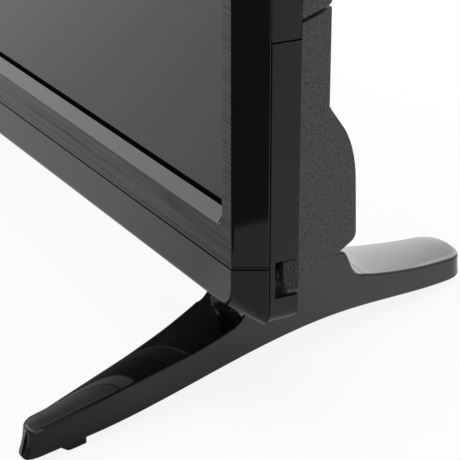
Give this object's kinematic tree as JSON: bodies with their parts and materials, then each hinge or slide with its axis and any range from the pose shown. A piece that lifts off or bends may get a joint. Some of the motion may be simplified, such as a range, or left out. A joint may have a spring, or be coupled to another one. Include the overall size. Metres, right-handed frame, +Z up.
{
  "type": "flat screen tv",
  "caption": "Flat screen television with a thin gloss bezel, chamfered rim, raised rear housing, rear push keys and boomerang feet; stands on a table or hangs on a wall.",
  "frame": {"origin": "on the table, below the middle of the set's width and of the feet's depth", "axes": "+X to the viewer's right along the width, +Y to the back, +Z up"},
  "size_m": [0.729, 0.2043, 0.4884],
  "materials": {
    "piano_black": "high gloss",
    "satin_black": "satin",
    "grained_grey": "fine grain",
    "screen_glass": "anti-glare",
    "ir_plastic": "tinted",
    "white_optic": "matt white",
    "lens_clear": "clear",
    "zinc_steel": "zinc plated",
    "circuit_board": "solder resist",
    "amber_film": "film",
    "tinned_metal": "tinned",
    "black_plastic": "moulded",
    "pad_rubber": "matt",
    "screw_steel": "plated",
    "key_plastic": "satin"
  },
  "bodies": {
    "cabinet": {"front_bezel": "piano_black", "bottom_trim": "piano_black", "ir_window": "ir_plastic", "ir_board": "circuit_board", "lcd_cell": "screen_glass", "panel_frame": "black_plastic", "optical_sheets": "white_optic", "diffuser_plate": "white_optic", "reflector_sheet": "white_optic", "led_bars": "white_optic", "led_lenses": "lens_clear", "backlight_tray": "zinc_steel", "source_board": "circuit_board", "driver_flexes": "amber_film", "lvds_cable": "white_optic", "frame_upper": "satin_black", "frame_lower": "satin_black", "rear_cover_upper": "grained_grey", "rear_cover_lower": "grained_grey", "main_board": "circuit_board", "soc_heatsink": "tinned_metal", "tuner_can": "tinned_metal", "hdmi_socket_1": "tinned_metal", "hdmi_socket_2": "tinned_metal", "usb_socket": "tinned_metal", "headphone_jack": "black_plastic", "antenna_socket": "tinned_metal", "power_board": "circuit_board", "transformer": "amber_film", "bulk_capacitors": "black_plastic", "ac_inlet": "black_plastic", "key_board": "circuit_board", "speaker_box_left": "black_plastic", "speaker_box_right": "black_plastic", "speaker_driver_left": "black_plastic", "speaker_driver_right": "black_plastic", "vesa_inserts": "zinc_steel", "foot_bracket_left": "zinc_steel", "foot_bracket_right": "zinc_steel", "foot_left": "piano_black", "foot_right": "piano_black", "foot_pads_left": "pad_rubber", "foot_pads_right": "pad_rubber", "cover_screws": "screw_steel", "board_screws": "screw_steel", "foot_screws": "screw_steel"},
    "key_1": {"key_1": "key_plastic"},
    "key_2": {"key_2": "key_plastic"},
    "key_3": {"key_3": "key_plastic"},
    "key_4": {"key_4": "key_plastic"},
    "key_5": {"key_5": "key_plastic"},
    "key_6": {"key_6": "key_plastic"},
    "key_7": {"key_7": "key_plastic"}
  },
  "joints": [
    {"name": "key_1_press", "type": "slide", "parent": "cabinet", "child": "key_1", "axis": [0, -1, 0], "range_m": [0, 0.0005], "stiffness_N_per_m": 2400},
    {"name": "key_2_press", "type": "slide", "parent": "cabinet", "child": "key_2", "axis": [0, -1, 0], "range_m": [0, 0.0005], "stiffness_N_per_m": 2400},
    {"name": "key_3_press", "type": "slide", "parent": "cabinet", "child": "key_3", "axis": [0, -1, 0], "range_m": [0, 0.0005], "stiffness_N_per_m": 2400},
    {"name": "key_4_press", "type": "slide", "parent": "cabinet", "child": "key_4", "axis": [0, -1, 0], "range_m": [0, 0.0005], "stiffness_N_per_m": 2400},
    {"name": "key_5_press", "type": "slide", "parent": "cabinet", "child": "key_5", "axis": [0, -1, 0], "range_m": [0, 0.0005], "stiffness_N_per_m": 2400},
    {"name": "key_6_press", "type": "slide", "parent": "cabinet", "child": "key_6", "axis": [0, -1, 0], "range_m": [0, 0.0005], "stiffness_N_per_m": 2400},
    {"name": "key_7_press", "type": "slide", "parent": "cabinet", "child": "key_7", "axis": [0, -1, 0], "range_m": [0, 0.0005], "stiffness_N_per_m": 2400}
  ]
}
